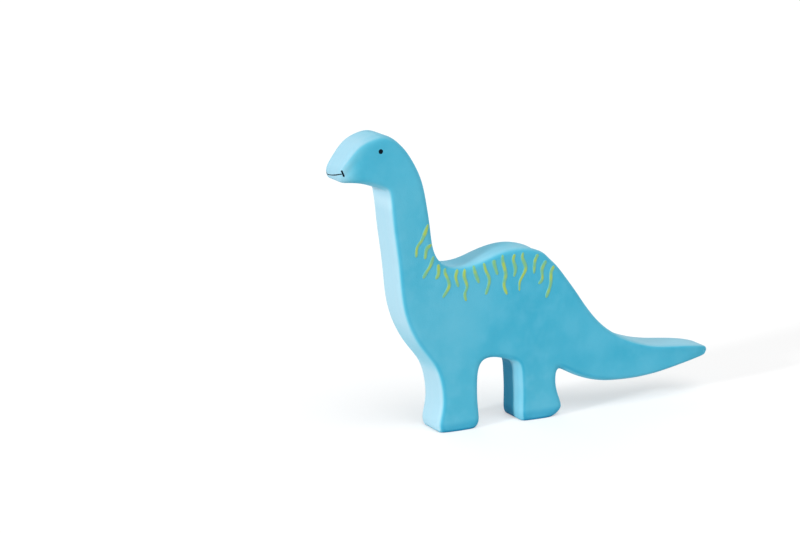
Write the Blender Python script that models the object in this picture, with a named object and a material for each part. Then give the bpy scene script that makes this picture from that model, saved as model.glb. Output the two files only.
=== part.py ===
"""Toy dinosaur figure with a long neck, moulded hollow in soft rubber, with a rattle inside.

Metres, +Z up. The nose points to -X and the tail to +X. The figure stands on the flat soles
of its two block legs at Z = 0, and its middle plane is Y = 0.
"""

import math

import bmesh
import bpy
from mathutils import Vector

# Overall sizes of the figure
LENGTH = 0.190
HEIGHT = 0.135
THICKNESS = 0.0178

# The rubber moulding
WALL = 0.0022
EDGE_RADIUS = 0.0040
BACK_HOLLOW = 0.0006
SOLE_TRIM = 0.0006
CLEARANCE = 0.0003
CUT_OVERRUN = 0.004

# The pour hole in the hind sole, and the rubber plug that closes it from inside
POUR_HOLE_DIAMETER = 0.0085
PLUG_FLANGE_OVERLAP = 0.0013
PLUG_FLANGE_THICKNESS = 0.0012
PLUG_RECESS = 0.0004
PLUG_ROUNDING = 0.0003

# The rattle capsule, in two halves that fit into each other at a lip, and the room that it
# has on each side in the leg
CAPSULE_PLAY = 0.0007
CAPSULE_WALL = 0.0012
CAPSULE_LIP_HEIGHT = 0.0008

# The beads in the capsule, one in the middle and a ring round it, as a share of its bore
BEAD_SHARE = 0.24
RING_BEAD_COUNT = 6

# Faces round a turned piece, and steps from pole to lip of a round profile
TURNED_SIDES = 24
BEAD_SIDES = 10
BEAD_RINGS = 6
PROFILE_STEPS = 6
SHARP_ANGLE = math.radians(35)
ON_AXIS = 1e-9
SMOOTHING_LEVELS = 1

# Linear colours, and how rough each material is
RUBBER_BLUE = (0.080, 0.445, 0.658)
RUBBER_ROUGHNESS = 0.55
PLUG_BLUE = (0.100, 0.480, 0.680)
CAPSULE_WHITE = (0.820, 0.830, 0.800)
BEAD_ORANGE = (0.860, 0.520, 0.120)
PLASTIC_ROUGHNESS = 0.35

# The side view. Each point is a share of the length from the nose and of the height from
# the soles. A rib joins a point of the upper outline to one of the lower outline, and where
# its middle point doesn't lie halfway, that comes last. The nose and the tail tip end in such
# rows too.
NOSE_SHARES = (0.012, 0.912, 0.008, 0.859, 0.004, 0.888)
TAIL_TIP_SHARES = (0.996, 0.160, 0.992, 0.138, 1.000, 0.149)
RIB_SHARES = (
    # Head, from the lip to the nape and throat
    (0.029, 0.942, 0.030, 0.854, 0.044, 0.897),
    (0.054, 0.980, 0.060, 0.848, 0.070, 0.908),
    (0.096, 1.000, 0.086, 0.836),
    (0.118, 0.996, 0.106, 0.827),
    (0.138, 0.984, 0.119, 0.817),
    (0.158, 0.959, 0.123, 0.793),
    (0.177, 0.928, 0.127, 0.757),
    # Neck
    (0.207, 0.853, 0.131, 0.706),
    (0.221, 0.770, 0.137, 0.646),
    (0.231, 0.692, 0.144, 0.579),
    (0.239, 0.616, 0.149, 0.509),
    (0.261, 0.566, 0.157, 0.430),
    (0.296, 0.548, 0.175, 0.355),
    # Chest and shoulders
    (0.339, 0.552, 0.206, 0.283),
    (0.381, 0.571, 0.238, 0.226),
    (0.427, 0.586, 0.300, 0.240),
    (0.477, 0.587, 0.364, 0.218),
    # Hump and belly
    (0.524, 0.566, 0.398, 0.229),
    (0.542, 0.543, 0.434, 0.215),
    (0.565, 0.514, 0.459, 0.196),
    (0.592, 0.466, 0.516, 0.205),
    (0.623, 0.410, 0.573, 0.162),
    # Tail
    (0.656, 0.346, 0.605, 0.139),
    (0.697, 0.286, 0.651, 0.112),
    (0.744, 0.244, 0.704, 0.096),
    (0.798, 0.213, 0.763, 0.092),
    (0.854, 0.195, 0.821, 0.095),
    (0.910, 0.187, 0.879, 0.107),
    (0.956, 0.178, 0.938, 0.122),
    (0.987, 0.167, 0.983, 0.133),
)

# The ribs at which each leg begins, and the rows of the leg from the top down, each with
# its front and its rear point. The last row is the sole.
FRONT_LEG_RIB = 14
FRONT_LEG_SHARES = (
    (0.253, 0.165, 0.356, 0.155),
    (0.259, 0.097, 0.357, 0.089),
    (0.251, 0.042, 0.360, 0.042),
    (0.252, 0.016, 0.359, 0.018),
    (0.262, 0.000, 0.345, 0.000),
)
HIND_LEG_RIB = 19
HIND_LEG_SHARES = (
    (0.464, 0.150, 0.566, 0.130),
    (0.467, 0.098, 0.569, 0.092),
    (0.467, 0.045, 0.579, 0.050),
    (0.468, 0.020, 0.580, 0.022),
    (0.476, 0.000, 0.552, 0.000),
)

# The thickness across the figure, as shares of the length and of the full thickness
THICKNESS_SHARES = (
    (0.000, 0.82),
    (0.020, 0.91),
    (0.045, 0.97),
    (0.080, 1.00),
    (0.860, 1.00),
    (0.940, 0.90),
    (0.985, 0.72),
    (1.000, 0.56),
)

# The edge radius along the figure, as shares of the length and of the full edge radius
EDGE_SHARES = (
    (0.000, 0.80),
    (0.030, 1.10),
    (0.080, 1.40),
    (0.130, 1.00),
    (0.680, 1.00),
    (0.780, 0.75),
    (1.000, 0.60),
)

# How much of the way to the middle of a rib its rounded edge may take, and how much of the
# half thickness, where the figure is too slim for the edge radius
EDGE_REACH_SHARE = 0.60
EDGE_THICKNESS_SHARE = 0.80

# The rings of a rounded edge, from the middle plane to the side. Each is a share of the edge
# radius in from the side, and one in from the outline.
SHELL_RIM_SHARES = ((1.00, 0.00), (0.36, 0.00), (0.00, 0.36), (0.00, 1.00))
CAVITY_RIM_SHARES = ((0.60, 0.00), (0.00, 0.60))

# The ribs along the back whose top is drawn in a little, as soft rubber is between its edges
HOLLOW_RIBS = range(11, 22)

# A smoothed cage point settles a sixth of the way towards each neighbour
SETTLE_SHARE = 1 / 6

# At a sharp corner the inset corner goes no further than where this is the half angle's cosine
LEAST_MITRE_COSINE = 0.5

# The cavity stops this many ribs short of the solid tail tip
SOLID_TAIL_RIBS = 2
CAVITY_TIP_SHARE = 0.6

# The straight part of the hind leg, which the capsule has to pass
LEG_FRONT_SHARE = max(row[0] for row in HIND_LEG_SHARES[:-1])
LEG_REAR_SHARE = min(row[2] for row in HIND_LEG_SHARES[:-1])
LEG_HALF_LENGTH = (LEG_REAR_SHARE - LEG_FRONT_SHARE) / 2 * LENGTH

# Where the pour hole's axis meets the floor, and the pieces on that axis
POUR_HOLE = Vector((((LEG_FRONT_SHARE + LEG_REAR_SHARE) / 2 - 0.5) * LENGTH, 0, 0))
PLUG_TOP = WALL + CLEARANCE + PLUG_FLANGE_THICKNESS
CAPSULE_RADIUS = min(THICKNESS / 2, LEG_HALF_LENGTH) - WALL - CAPSULE_PLAY
CAPSULE_BORE_RADIUS = CAPSULE_RADIUS - CAPSULE_WALL
CAPSULE_CENTRE = POUR_HOLE + Vector((0, 0, PLUG_TOP + CLEARANCE + CAPSULE_RADIUS))
BEAD_RADIUS = CAPSULE_BORE_RADIUS * BEAD_SHARE


def clear_scene():
    """Remove every object that the file holds."""
    for item in list(bpy.data.objects):
        bpy.data.objects.remove(item, do_unlink=True)


def make_material(name, colour, roughness):
    """Return a Principled material that isn't metal."""
    material = bpy.data.materials.new(name)
    material.use_nodes = True
    shader = material.node_tree.nodes["Principled BSDF"]
    shader.inputs["Base Color"].default_value = (*colour, 1.0)
    shader.inputs["Roughness"].default_value = roughness
    shader.inputs["Metallic"].default_value = 0
    material.diffuse_color = (*colour, 1.0)
    return material


def add_object(name, mesh, material=None, location=(0, 0, 0)):
    """Link a mesh into the scene as a named object."""
    item = bpy.data.objects.new(name, mesh)
    item.location = location
    if material:
        mesh.materials.clear()
        mesh.materials.append(material)
    bpy.context.scene.collection.objects.link(item)
    return item


def mark_as_cutter(item):
    """Show an object as a wire that is not part of the model."""
    item.hide_render = True
    item.display_type = "WIRE"
    return item


def side_point(length_share, height_share):
    """Return a point (X, Z) of the side view from its shares."""
    return Vector(((length_share - 0.5) * LENGTH, height_share * HEIGHT))


def side_points(shares):
    """Return the points of the side view that a row of a table gives, two shares each."""
    return [side_point(*pair) for pair in zip(shares[::2], shares[1::2])]


def share_along(table, x):
    """Return the share that a table gives at a place along the figure."""
    place = min(max(x / LENGTH + 0.5, table[0][0]), table[-1][0])
    for (start, low), (end, high) in zip(table, table[1:]):
        if place <= end:
            return low + (high - low) * (place - start) / (end - start)
    return table[-1][1]


def side_sheet(rib_shares, tail_end, sole_level):
    """Return the side view as points and the quads over them.

    Every rib, end row and row of a leg has two points on the outline and a middle one.
    """
    points = []
    quads = []

    def row_of(first, last, middle=None):
        start = len(points)
        points.extend((first, middle or (first + last) / 2, last))
        return start, start + 1, start + 2

    def join(upper, lower):
        for left, right in ((0, 1), (1, 2)):
            quads.append((upper[left], upper[right], lower[right], lower[left]))

    ribs = [row_of(*side_points(shares)) for shares in rib_shares]
    for rib, following in zip(ribs, ribs[1:]):
        join(rib, following)
    join(row_of(*side_points(NOSE_SHARES)), ribs[0])
    join(ribs[-1], row_of(*tail_end))
    for first_rib, rows in ((FRONT_LEG_RIB, FRONT_LEG_SHARES), (HIND_LEG_RIB, HIND_LEG_SHARES)):
        above = tuple(ribs[first_rib + step][2] for step in range(3))
        for number, shares in enumerate(rows):
            below = row_of(*side_points(shares))
            if number == len(rows) - 1:
                for corner in below:
                    points[corner].y = sole_level
            join(above, below)
            above = below
    return points, quads


def outline_loop(quads):
    """Return the point numbers round the edge of the sheet, in order."""
    following = {}
    edges = {}
    for quad in quads:
        for a, b in zip(quad, quad[1:] + quad[:1]):
            key = (min(a, b), max(a, b))
            edges[key] = edges.get(key, 0) + 1
    for (a, b), uses in edges.items():
        if uses == 1:
            following.setdefault(a, []).append(b)
            following.setdefault(b, []).append(a)
    start = min(following)
    loop = [start, following[start][0]]
    while True:
        onward = [n for n in following[loop[-1]] if n != loop[-2]][0]
        if onward == start:
            return loop
        loop.append(onward)


def signed_area(points, loop):
    """Return twice the area inside the loop, positive where it runs anticlockwise."""
    pairs = zip(loop, loop[1:] + loop[:1])
    return sum(points[a].x * points[b].y - points[b].x * points[a].y for a, b in pairs)


def aim_outline(points, loop):
    """Push the outline's cage points out so that the smoothed outline runs through them."""
    aimed = {}
    for number, here in enumerate(loop):
        before = points[loop[number - 1]]
        after = points[loop[(number + 1) % len(loop)]]
        aimed[here] = points[here] - (before + after - 2 * points[here]) * SETTLE_SHARE
    for here, place in aimed.items():
        points[here] = place


def inward_steps(points, loop):
    """Return, for each outline point, the step inwards that insets both its edges by one."""
    turn = 1 if signed_area(points, loop) > 0 else -1
    steps = {}
    for number, here in enumerate(loop):
        before = points[loop[number - 1]]
        after = points[loop[(number + 1) % len(loop)]]
        first = (points[here] - before).normalized()
        second = (after - points[here]).normalized()
        first_normal = Vector((-first.y, first.x)) * turn
        second_normal = Vector((-second.y, second.x)) * turn
        middle = (first_normal + second_normal).normalized()
        steps[here] = middle / max(middle.dot(first_normal), LEAST_MITRE_COSINE)
    return steps


def edge_radii(points, quads, loop):
    """Return the edge radius at each outline point, less where the figure is slim."""
    on_outline = set(loop)
    radii = {}
    for here in loop:
        reach = min(
            (points[here] - points[other]).length
            for quad in quads if here in quad
            for other in quad if other not in on_outline
        )
        full_radius = EDGE_RADIUS * share_along(EDGE_SHARES, points[here].x)
        radii[here] = min(full_radius, reach * EDGE_REACH_SHARE)
    return radii


def rounded_slab(name, points, quads, rim_shares, inset=0, hollow_points=()):
    """Return a closed mesh of the side view, given its thickness and its rounded edges.

    The outline and both sides are drawn in by the inset.
    """
    loop = outline_loop(quads)
    aim_outline(points, loop)
    steps = inward_steps(points, loop)
    for here in loop:
        points[here] = points[here] + steps[here] * inset
    steps = inward_steps(points, loop)
    radii = edge_radii(points, quads, loop)
    halves = [share_along(THICKNESS_SHARES, p.x) * THICKNESS / 2 - inset for p in points]
    for here in loop:
        radii[here] = min(radii[here], halves[here] * EDGE_THICKNESS_SHARE)

    mesh_data = bmesh.new()

    def ring_of(side, in_share, down_share):
        ring = {}
        for here in loop:
            place = points[here] + steps[here] * radii[here] * down_share
            y = side * (halves[here] - radii[here] * in_share)
            ring[here] = mesh_data.verts.new((place.x, y, place.y))
        return ring

    middle_ring = {}
    for here in loop:
        dip = BACK_HOLLOW if here in hollow_points else 0
        place = points[here] + steps[here] * dip
        middle_ring[here] = mesh_data.verts.new((place.x, 0, place.y))
    for side in (-1, 1):
        rings = [middle_ring] + [ring_of(side, *shares) for shares in rim_shares]
        corners = dict(rings[-1])
        for number, point in enumerate(points):
            if number not in corners:
                corners[number] = mesh_data.verts.new((point.x, side * halves[number], point.y))
        for quad in quads:
            mesh_data.faces.new([corners[number] for number in quad])
        for inner, outer in zip(rings, rings[1:]):
            for a, b in zip(loop, loop[1:] + loop[:1]):
                mesh_data.faces.new((inner[a], inner[b], outer[b], outer[a]))
    bmesh.ops.recalc_face_normals(mesh_data, faces=mesh_data.faces)
    mesh = bpy.data.meshes.new(name)
    mesh_data.to_mesh(mesh)
    mesh_data.free()
    mesh.shade_smooth()
    return mesh


def smooth(item):
    """Give an object its Subdivision Surface."""
    modifier = item.modifiers.new("Smooth form", "SUBSURF")
    modifier.levels = SMOOTHING_LEVELS
    modifier.render_levels = SMOOTHING_LEVELS


def cut(item, cutter):
    """Take a cutter's shape out of an object."""
    modifier = item.modifiers.new("Cut " + cutter.name, "BOOLEAN")
    modifier.operation = "DIFFERENCE"
    modifier.object = cutter


def turned_mesh(name, profile):
    """Return a closed mesh turned about Z from a profile of (radius, height) points.

    The profile starts and ends on the axis and runs round the section from its low end.
    """
    mesh_data = bmesh.new()
    rings = []
    for radius, height in profile:
        if math.isclose(radius, 0, abs_tol=ON_AXIS):
            rings.append([mesh_data.verts.new((0, 0, height))])
            continue
        angles = [2 * math.pi * number / TURNED_SIDES for number in range(TURNED_SIDES)]
        rings.append([
            mesh_data.verts.new((radius * math.cos(a), radius * math.sin(a), height))
            for a in angles
        ])
    for lower, upper in zip(rings, rings[1:]):
        for number in range(TURNED_SIDES):
            after = (number + 1) % TURNED_SIDES
            corners = [lower[number % len(lower)], lower[after % len(lower)],
                       upper[after % len(upper)], upper[number % len(upper)]]
            kept = [c for place, c in enumerate(corners) if c not in corners[:place]]
            mesh_data.faces.new(kept)
    bmesh.ops.recalc_face_normals(mesh_data, faces=mesh_data.faces)
    mesh = bpy.data.meshes.new(name)
    mesh_data.to_mesh(mesh)
    mesh_data.free()
    mesh.shade_smooth()
    mesh.set_sharp_from_angle(angle=SHARP_ANGLE)
    return mesh


def box_mesh(name, low, high):
    """Return a box between two corners."""
    mesh_data = bmesh.new()
    bmesh.ops.create_cube(mesh_data, size=1)
    low, high = Vector(low), Vector(high)
    for corner in mesh_data.verts:
        share = corner.co + Vector((0.5, 0.5, 0.5))
        corner.co = low + Vector(s * l for s, l in zip(share, high - low))
    mesh = bpy.data.meshes.new(name)
    mesh_data.to_mesh(mesh)
    mesh_data.free()
    return mesh


def make_body_shell(material):
    """Make the one-piece rubber skin: head, neck, body, legs and tail."""
    points, quads = side_sheet(RIB_SHARES, side_points(TAIL_TIP_SHARES), -SOLE_TRIM)
    # A rib's first point is its place in the list times the three points of each rib
    hollow_points = {3 * rib for rib in HOLLOW_RIBS}
    shell_mesh = rounded_slab(
        "body_shell", points, quads, SHELL_RIM_SHARES, hollow_points=hollow_points)
    shell = add_object("body_shell", shell_mesh, material)
    smooth(shell)

    cavity_ribs = RIB_SHARES[:-SOLID_TAIL_RIBS]
    end, beyond = cavity_ribs[-1], RIB_SHARES[-SOLID_TAIL_RIBS]
    cavity_end = [a.lerp(b, CAVITY_TIP_SHARE)
                  for a, b in zip(side_points(end), side_points(beyond))]
    points, quads = side_sheet(cavity_ribs, cavity_end, 0)
    cavity_mesh = rounded_slab("cavity", points, quads, CAVITY_RIM_SHARES, inset=WALL)
    cavity = add_object("cavity", cavity_mesh)
    smooth(mark_as_cutter(cavity))
    cut(shell, cavity)

    hole_radius = POUR_HOLE_DIAMETER / 2
    seat_radius = hole_radius + PLUG_FLANGE_OVERLAP + CLEARANCE
    seat_top = PLUG_TOP + CLEARANCE
    hole_profile = ((0, -CUT_OVERRUN), (hole_radius, -CUT_OVERRUN), (hole_radius, WALL),
                    (seat_radius, WALL), (seat_radius, seat_top), (0, seat_top))
    hole = add_object("pour_hole", turned_mesh("pour_hole", hole_profile), None, POUR_HOLE)
    cut(shell, mark_as_cutter(hole))

    half_length = LENGTH / 2 + CUT_OVERRUN
    low = (-half_length, -THICKNESS, -CUT_OVERRUN)
    high = (half_length, THICKNESS, 0)
    floor = add_object("sole_trim", box_mesh("sole_trim", low, high))
    cut(shell, mark_as_cutter(floor))


def make_plug(material):
    """Make the rubber plug: a stem in the pour hole under a flange inside the leg."""
    stem = POUR_HOLE_DIAMETER / 2 - CLEARANCE
    flange = POUR_HOLE_DIAMETER / 2 + PLUG_FLANGE_OVERLAP
    seat = WALL + CLEARANCE
    profile = (
        (0, PLUG_RECESS),
        (stem - PLUG_ROUNDING, PLUG_RECESS),
        (stem, PLUG_RECESS + PLUG_ROUNDING),
        (stem, seat),
        (flange, seat),
        (flange, PLUG_TOP - PLUG_ROUNDING),
        (flange - PLUG_ROUNDING, PLUG_TOP),
        (0, PLUG_TOP),
    )
    add_object("pour_hole_plug", turned_mesh("pour_hole_plug", profile), material, POUR_HOLE)


def arc(radius, start_height, end_height):
    """Return profile points of a circle about the origin between two heights."""
    start = math.asin(start_height / radius)
    end = math.asin(end_height / radius)
    angles = [start + (end - start) * step / PROFILE_STEPS for step in range(PROFILE_STEPS + 1)]
    return [(radius * math.cos(angle), radius * math.sin(angle)) for angle in angles]


def make_capsule(material):
    """Make the two halves of the rattle capsule, with their lip at the middle."""
    outer = CAPSULE_RADIUS
    inner = CAPSULE_BORE_RADIUS
    lip = (CAPSULE_WALL - CLEARANCE) / 2
    lip_top = CAPSULE_LIP_HEIGHT
    shoulder = CLEARANCE / 2
    lower = arc(outer, -outer, -shoulder)
    lower += [(inner + lip, -shoulder), (inner + lip, lip_top), (inner, lip_top)]
    lower += arc(inner, 0, -inner)
    socket = lip_top + CLEARANCE
    upper = arc(inner, inner, socket)
    upper += [(outer - lip, socket), (outer - lip, shoulder)]
    upper += arc(outer, shoulder, outer)
    for name, profile in (("rattle_capsule_lower", lower), ("rattle_capsule_upper", upper)):
        add_object(name, turned_mesh(name, profile), material, CAPSULE_CENTRE)


def bead_places():
    """Return where the beads lie in the capsule: the middle one, then the ring."""
    reach = CAPSULE_BORE_RADIUS - CLEARANCE - BEAD_RADIUS
    ring_radius = 2 * BEAD_RADIUS + CLEARANCE
    ring_drop = math.sqrt(reach ** 2 - ring_radius ** 2)
    places = [CAPSULE_CENTRE - Vector((0, 0, reach))]
    for number in range(RING_BEAD_COUNT):
        angle = 2 * math.pi * number / RING_BEAD_COUNT
        places.append(CAPSULE_CENTRE + Vector((
            ring_radius * math.cos(angle), ring_radius * math.sin(angle), -ring_drop)))
    return places


def make_beads(material):
    """Make the loose beads that rattle in the capsule."""
    mesh_data = bmesh.new()
    bmesh.ops.create_uvsphere(
        mesh_data, u_segments=BEAD_SIDES, v_segments=BEAD_RINGS, radius=BEAD_RADIUS)
    mesh = bpy.data.meshes.new("rattle_bead")
    mesh_data.to_mesh(mesh)
    mesh_data.free()
    mesh.shade_smooth()
    for number, place in enumerate(bead_places(), start=1):
        add_object("rattle_bead_%d" % number, mesh, material, place)


def main():
    """Build the figure."""
    clear_scene()
    make_body_shell(make_material("blue_rubber", RUBBER_BLUE, RUBBER_ROUGHNESS))
    make_plug(make_material("plug_rubber", PLUG_BLUE, RUBBER_ROUGHNESS))
    make_capsule(make_material("capsule_plastic", CAPSULE_WHITE, PLASTIC_ROUGHNESS))
    make_beads(make_material("bead_plastic", BEAD_ORANGE, PLASTIC_ROUGHNESS))


main()
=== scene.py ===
"""Looks of the toy dinosaur figure: painted rubber skin, brushed strokes, face, studio."""

import math

import bmesh
import bpy
import numpy as np
from mathutils import Matrix, Vector, noise
from mathutils.bvhtree import BVHTree


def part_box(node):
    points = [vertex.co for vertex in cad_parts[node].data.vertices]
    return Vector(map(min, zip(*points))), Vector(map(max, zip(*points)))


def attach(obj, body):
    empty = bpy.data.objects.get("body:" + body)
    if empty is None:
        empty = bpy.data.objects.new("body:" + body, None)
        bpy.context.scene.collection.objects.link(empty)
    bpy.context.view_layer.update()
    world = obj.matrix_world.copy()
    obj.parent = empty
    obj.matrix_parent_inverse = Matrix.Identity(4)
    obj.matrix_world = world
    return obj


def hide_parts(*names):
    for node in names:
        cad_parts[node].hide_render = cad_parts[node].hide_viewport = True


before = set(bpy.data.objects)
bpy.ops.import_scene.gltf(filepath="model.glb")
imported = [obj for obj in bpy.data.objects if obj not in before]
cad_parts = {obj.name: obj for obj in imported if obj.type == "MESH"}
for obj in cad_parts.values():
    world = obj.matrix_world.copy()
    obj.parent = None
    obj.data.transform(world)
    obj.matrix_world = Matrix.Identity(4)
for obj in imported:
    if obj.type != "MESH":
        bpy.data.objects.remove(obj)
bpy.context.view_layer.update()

# Sizes of the skin, as on the solid that it replaces
LENGTH = 0.190
HEIGHT = 0.135
THICKNESS = 0.0178
WALL = 0.0022
EDGE_RADIUS = 0.0040
BACK_HOLLOW = 0.0006
SOLE_TRIM = 0.0006
CUT_OVERRUN = 0.004
POUR_HOLE_RADIUS = 0.00425
SEAT_OVERLAP = 0.0016
HOLE_SIDES = 64

# The side view. Each point is a share of the length from the nose and of the height from
# the soles. A rib joins a point of the upper outline to one of the lower outline, and where
# its middle point doesn't lie halfway, that comes last. The nose and the tail tip end in such
# rows too.
MIDDLE_SHARE = 0.5
NOSE_SHARES = (0.012, 0.912, 0.008, 0.859, 0.004, 0.888)
TAIL_TIP_SHARES = (0.996, 0.160, 0.992, 0.138, 1.000, 0.149)
RIB_SHARES = (
    # Head, from the lip to the nape and throat
    (0.029, 0.942, 0.030, 0.854, 0.044, 0.897),
    (0.054, 0.980, 0.060, 0.848, 0.070, 0.908),
    (0.096, 1.000, 0.086, 0.836),
    (0.118, 0.996, 0.106, 0.827),
    (0.138, 0.984, 0.119, 0.817),
    (0.158, 0.959, 0.123, 0.793),
    (0.177, 0.928, 0.127, 0.757),
    # Neck
    (0.207, 0.853, 0.131, 0.706),
    (0.221, 0.770, 0.137, 0.646),
    (0.231, 0.692, 0.144, 0.579),
    (0.239, 0.616, 0.149, 0.509),
    (0.261, 0.566, 0.157, 0.430),
    (0.296, 0.548, 0.175, 0.355),
    # Chest and shoulders
    (0.339, 0.552, 0.206, 0.283),
    (0.381, 0.571, 0.238, 0.226),
    (0.427, 0.586, 0.300, 0.240),
    (0.477, 0.587, 0.364, 0.218),
    # Hump and belly
    (0.524, 0.566, 0.398, 0.229),
    (0.542, 0.543, 0.434, 0.215),
    (0.565, 0.514, 0.459, 0.196),
    (0.592, 0.466, 0.516, 0.205),
    (0.623, 0.410, 0.573, 0.162),
    # Tail
    (0.656, 0.346, 0.605, 0.139),
    (0.697, 0.286, 0.651, 0.112),
    (0.744, 0.244, 0.704, 0.096),
    (0.798, 0.213, 0.763, 0.092),
    (0.854, 0.195, 0.821, 0.095),
    (0.910, 0.187, 0.879, 0.107),
    (0.956, 0.178, 0.938, 0.122),
    (0.987, 0.167, 0.983, 0.133),
)
# Each leg hangs from the lower points of three ribs, the first of which is numbered here. Its
# rows join the leg's front edge to its rear edge, from the top down to the sole.
FRONT_LEG_RIB = 14
FRONT_LEG_SHARES = (
    (0.253, 0.165, 0.356, 0.155),
    (0.259, 0.097, 0.357, 0.089),
    (0.251, 0.042, 0.360, 0.042),
    (0.252, 0.016, 0.359, 0.018),
    (0.262, 0.000, 0.345, 0.000),
)
HIND_LEG_RIB = 19
HIND_LEG_SHARES = (
    (0.464, 0.150, 0.566, 0.130),
    (0.467, 0.098, 0.569, 0.092),
    (0.467, 0.045, 0.579, 0.050),
    (0.468, 0.020, 0.580, 0.022),
    (0.476, 0.000, 0.552, 0.000),
)
# The thickness and the edge radius along the figure: the place as a share of the length, and
# the share of the full size that holds there
THICKNESS_SHARES = (
    (0.000, 0.82),
    (0.020, 0.91),
    (0.045, 0.97),
    (0.080, 1.00),
    (0.860, 1.00),
    (0.940, 0.90),
    (0.985, 0.72),
    (1.000, 0.56),
)
EDGE_SHARES = (
    (0.000, 0.80),
    (0.030, 1.10),
    (0.080, 1.40),
    (0.130, 1.00),
    (0.680, 1.00),
    (0.780, 0.75),
    (1.000, 0.60),
)
# An edge radius is at most these shares of the way to the nearest inner point and of half the
# thickness
EDGE_REACH_SHARE = 0.60
EDGE_THICKNESS_SHARE = 0.80
# The cage over a rounded edge: how far in from the side and from the outline each row of
# points lies, as shares of the edge radius
SHELL_RIM_SHARES = ((1.00, 0.00), (0.36, 0.00), (0.00, 0.36), (0.00, 1.00))
CAVITY_RIM_SHARES = ((0.60, 0.00), (0.00, 0.60))
# How far smoothing moves a cage point, as a share of its two steps to its neighbours, added
SETTLE_SHARE = 1 / 6
# Keeps the inward step at a sharp corner to twice the inset
LEAST_MITRE_COSINE = 0.5
# The ribs whose upper points lie in the hollow of the back
HOLLOW_RIBS = range(11, 22)
# How many ribs at the tail's end the cavity stops before, and how far its tip reaches towards
# the first of them
SOLID_TAIL_RIBS = 2
CAVITY_TIP_SHARE = 0.6
POINTS_PER_ROW = 3
SKIN_LEVELS = 3
CAVITY_LEVELS = 2

# Hand-made unevenness of the rubber: long waves, and finer ones on them
WAVE_SIZE = 0.016
WAVE_HEIGHT = 0.00009
FINE_WAVE_SHARE = 0.4
FINE_WAVE_SCALE = 2.3

# The camera, at the photograph's angle
CAMERA_PLACE = Vector((-0.51657, -0.90174, 0.31014))
CAMERA_TURN = math.radians(26.75)
CAMERA_TILT = math.radians(13.1)
LENS_MM = 108
SENSOR_MM = 36
FRAME_WIDTH_PX = 800
FRAME_HEIGHT_PX = 533
CLIP_START = 0.01

# Where the marks of paint are seen in that frame, in pixels across and down
STROKE_PIXELS = (
    ((428, 224), (425.4, 232), (421.8, 240.5), (417.1, 247.6), (416.1, 257.8)),
    ((431.5, 244.3), (426.8, 249), (424.9, 259.4)),
    ((433.5, 256), (430.5, 265.5), (426.6, 272), (423, 278.5)),
    ((438.3, 264.2), (438.3, 273.8), (435.7, 279.5)),
    ((445.3, 268), (444.9, 272.5), (449.1, 285.3), (442.7, 298)),
    ((457.1, 269.3), (455.7, 277), (458.4, 287.2)),
    ((464.4, 268.7), (464.2, 276.3), (467, 286.5), (464.8, 294.2), (466.1, 301.2)),
    ((473.3, 265.5), (474.6, 271.2), (479.1, 283.3)),
    ((483.5, 262.9), (485.5, 270), (489.3, 280.2), (485.7, 294.8)),
    ((493.8, 259.7), (494.4, 264.8), (497.6, 275.1)),
    ((502.4, 254.6), (502.7, 261), (505.6, 273.8), (504, 285.3), (507.1, 294.8)),
    ((514.8, 254), (513.3, 259.7), (515.4, 268.7), (513.9, 277)),
    ((523.1, 252.1), (522.4, 257.8), (525.6, 268.7), (519.9, 281.4), (519.3, 291)),
    ((537.8, 254), (534.9, 261), (533.9, 273.8)),
    ((546, 260.4), (542.2, 268.7), (542.2, 278.9), (538.4, 284)),
    ((553.7, 265.5), (551.1, 272.5), (550.5, 284), (546, 298)),
)
EYE_PIXEL = (380.8, 151.6)
MOUTH_PIXELS = ((342.9, 174.0), (340.2, 174.3), (337.0, 174.8), (333.6, 175.1),
                (330.4, 174.9), (328.2, 174.5), (327.2, 173.9))
MOUTH_CORNER_PIXELS = ((341.4, 170.3), (342.9, 173.9), (344.3, 177.1))

# Sizes of the marks
STROKE_WIDTH = 0.00200
STROKE_HEIGHT = 0.00012
MOUTH_WIDTH = 0.00056
MOUTH_HEIGHT = 0.00004
TICK_WIDTH_SHARE = 1.4
EYE_DIAMETER = 0.0021
EYE_HEIGHT = 0.00012
EYE_DOME_POWER = 3
EYE_SIDES = 24
EYE_RINGS = 5
MARK_SINK = 0.00010
MARK_STEP = 0.00035
MARK_SIDES = 12
WELD_DISTANCE = 0.000001

# Unevenness of a brushed line. A pattern says how fast the noise changes along the line, how
# far apart it is for two lines, and which layer of the noise it is.
TINT_PATTERN = (0.12, 3.7, 0.5)
SWAY_PATTERN = (3.4, 5.3, 1.7)
SWAY_SHARE = 0.34
END_POWER = 9
LEAST_END_SHARE = 0.12
START_WIDTH_SHARE = 1.06
TAPER_SHARE = 0.18
FLATTENING_SHARE = 0.45
MOUTH_SEED = 41
TICK_SEED = 42


def side_point(length_share, height_share):
    """Return a point (X, Z) of the side view from its shares."""
    return Vector(((length_share - MIDDLE_SHARE) * LENGTH, height_share * HEIGHT))


def side_points(shares):
    """Return the points of the side view that a row of a table gives, two shares each."""
    return [side_point(*pair) for pair in zip(shares[::2], shares[1::2])]


def share_along(table, x):
    """Return the share that a table gives at a place along the figure."""
    places = [place for place, _ in table]
    shares = [share for _, share in table]
    return float(np.interp(x / LENGTH + MIDDLE_SHARE, places, shares))


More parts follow.
